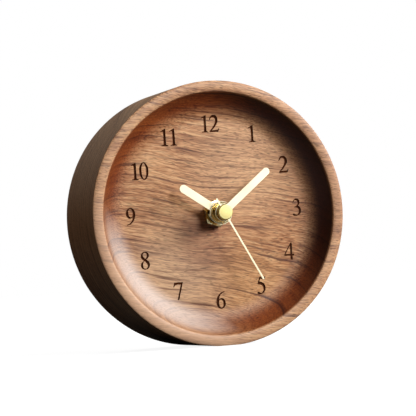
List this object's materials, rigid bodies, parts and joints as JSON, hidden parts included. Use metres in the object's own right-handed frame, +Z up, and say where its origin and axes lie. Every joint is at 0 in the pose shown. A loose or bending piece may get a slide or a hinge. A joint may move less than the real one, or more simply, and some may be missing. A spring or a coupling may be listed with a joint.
{
  "type": "desk clock",
  "caption": "Round desk clock turned from solid wood, with a dished dial, flat baton hands over a brass hub nut, and a quartz movement in an open rear pocket.",
  "frame": {"origin": "centre of the narrow planed flat that the case stands on", "axes": "+Z up, -Y towards the reader of the dial, +X to the reader's right"},
  "size_m": [0.115, 0.0482, 0.1148],
  "materials": {
    "walnut": "satin",
    "black_shell": "satin",
    "brass": "satin",
    "gold_cap": "polished",
    "gold_hands": "satin",
    "black_rubber": "matte",
    "steel": "satin",
    "white_resin": "satin",
    "copper_wire": "satin",
    "board": "satin",
    "sealing_resin": "gloss",
    "nickel_strip": "satin",
    "magnet": "matte",
    "cell_label": "gloss"
  },
  "bodies": {
    "case": {"walnut_case": "walnut", "movement_shell": "black_shell", "movement_cover": "black_shell", "threaded_bush": "brass", "hex_nut": "brass", "rubber_washer": "black_rubber", "train_bridge": "white_resin", "train_screws": "steel", "stator": "steel", "coil_core": "steel", "coil_bobbin": "white_resin", "coil_winding": "copper_wire", "circuit_board": "board", "driver_chip": "sealing_resin", "quartz_crystal": "nickel_strip", "positive_contact": "nickel_strip", "negative_contact": "nickel_strip"},
    "cell": {"battery_cell": "cell_label"},
    "second": {"second_wheel": "white_resin", "second_arbor": "steel", "second_hand": "gold_hands", "second_hand_cap": "gold_cap"},
    "third": {"third_wheel": "white_resin"},
    "fifth": {"fifth_wheel": "white_resin"},
    "rotor": {"rotor_pinion": "white_resin", "rotor_magnet": "magnet"},
    "minute_drive": {"minute_gear": "white_resin"},
    "minute": {"cannon_pinion": "white_resin", "minute_hand": "gold_hands"},
    "setting": {"motion_wheel": "white_resin", "setting_knob": "black_shell"},
    "hour": {"hour_wheel": "white_resin", "hour_hand": "gold_hands"}
  },
  "joints": [
    {"name": "second_turn", "type": "hinge", "parent": "case", "child": "second", "pos_m": [0, 0, 0.05728], "axis": [0, 1, 0], "continuous": true},
    {"name": "third_turn", "type": "hinge", "parent": "case", "child": "third", "pos_m": [0.00886, 0, 0.05885], "axis": [0, 1, 0], "continuous": true},
    {"name": "fifth_turn", "type": "hinge", "parent": "case", "child": "fifth", "pos_m": [0.00082, 0, 0.0667], "axis": [0, 1, 0], "continuous": true},
    {"name": "rotor_turn", "type": "hinge", "parent": "case", "child": "rotor", "pos_m": [0.00442, 0, 0.07293], "axis": [0, 1, 0], "continuous": true},
    {"name": "minute_drive_turn", "type": "hinge", "parent": "case", "child": "minute_drive", "pos_m": [0, 0, 0.05728], "axis": [0, 1, 0], "continuous": true},
    {"name": "minute_turn", "type": "hinge", "parent": "case", "child": "minute", "pos_m": [0, 0, 0.05728], "axis": [0, 1, 0], "continuous": true},
    {"name": "setting_turn", "type": "hinge", "parent": "case", "child": "setting", "pos_m": [-0.00902, 0, 0.06057], "axis": [0, 1, 0], "continuous": true},
    {"name": "hour_turn", "type": "hinge", "parent": "case", "child": "hour", "pos_m": [0, 0, 0.05728], "axis": [0, 1, 0], "continuous": true},
    {"name": "cell_lift", "type": "slide", "parent": "case", "child": "cell", "axis": [0, 1, 0], "range_m": [0, 0.022]}
  ],
  "couplings": [
    {"joint": "third_turn", "follows": "second_turn", "ratio": -0.13333},
    {"joint": "fifth_turn", "follows": "second_turn", "ratio": -6},
    {"joint": "rotor_turn", "follows": "second_turn", "ratio": 30},
    {"joint": "minute_drive_turn", "follows": "second_turn", "ratio": 0.016667},
    {"joint": "setting_turn", "follows": "minute_turn", "ratio": -0.33333},
    {"joint": "hour_turn", "follows": "minute_turn", "ratio": 0.083333}
  ]
}
